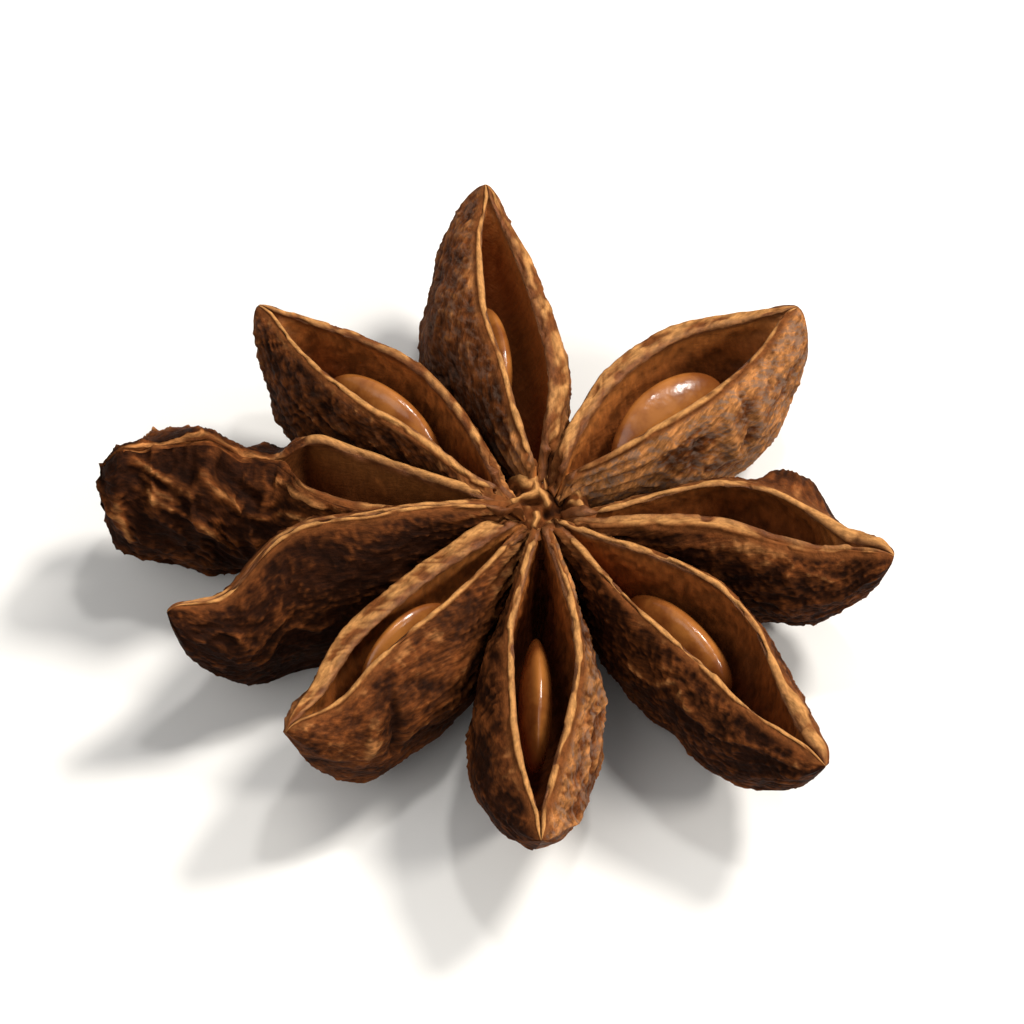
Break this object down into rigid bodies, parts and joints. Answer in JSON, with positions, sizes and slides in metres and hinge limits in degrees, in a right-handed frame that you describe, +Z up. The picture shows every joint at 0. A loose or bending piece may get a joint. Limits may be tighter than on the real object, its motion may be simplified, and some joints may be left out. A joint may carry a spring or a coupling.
{
  "type": "star anise pod",
  "caption": "Dried star anise fruit: boat-shaped woody carpels spread like a star round a short column, most split open along the top with glossy seeds inside.",
  "frame": {"origin": "middle of the underside of the pod's box, on the surface that it rests on", "axes": "+Z up, square to the star, with the open sides of the carpels facing up; +X the longest way across, towards the right of the view with -Y nearest"},
  "size_m": [0.0378, 0.0362, 0.0096],
  "materials": {
    "husk": "dry, crinkled dark brown husk with smoother tan lips and satin inner walls",
    "seed_coat": "smooth, glossy chestnut brown"
  },
  "bodies": {
    "root": {"pod": "husk", "seed_1": "seed_coat", "seed_2": "seed_coat", "seed_3": "seed_coat", "seed_4": "seed_coat", "seed_5": "seed_coat", "seed_6": "seed_coat"}
  },
  "joints": []
}
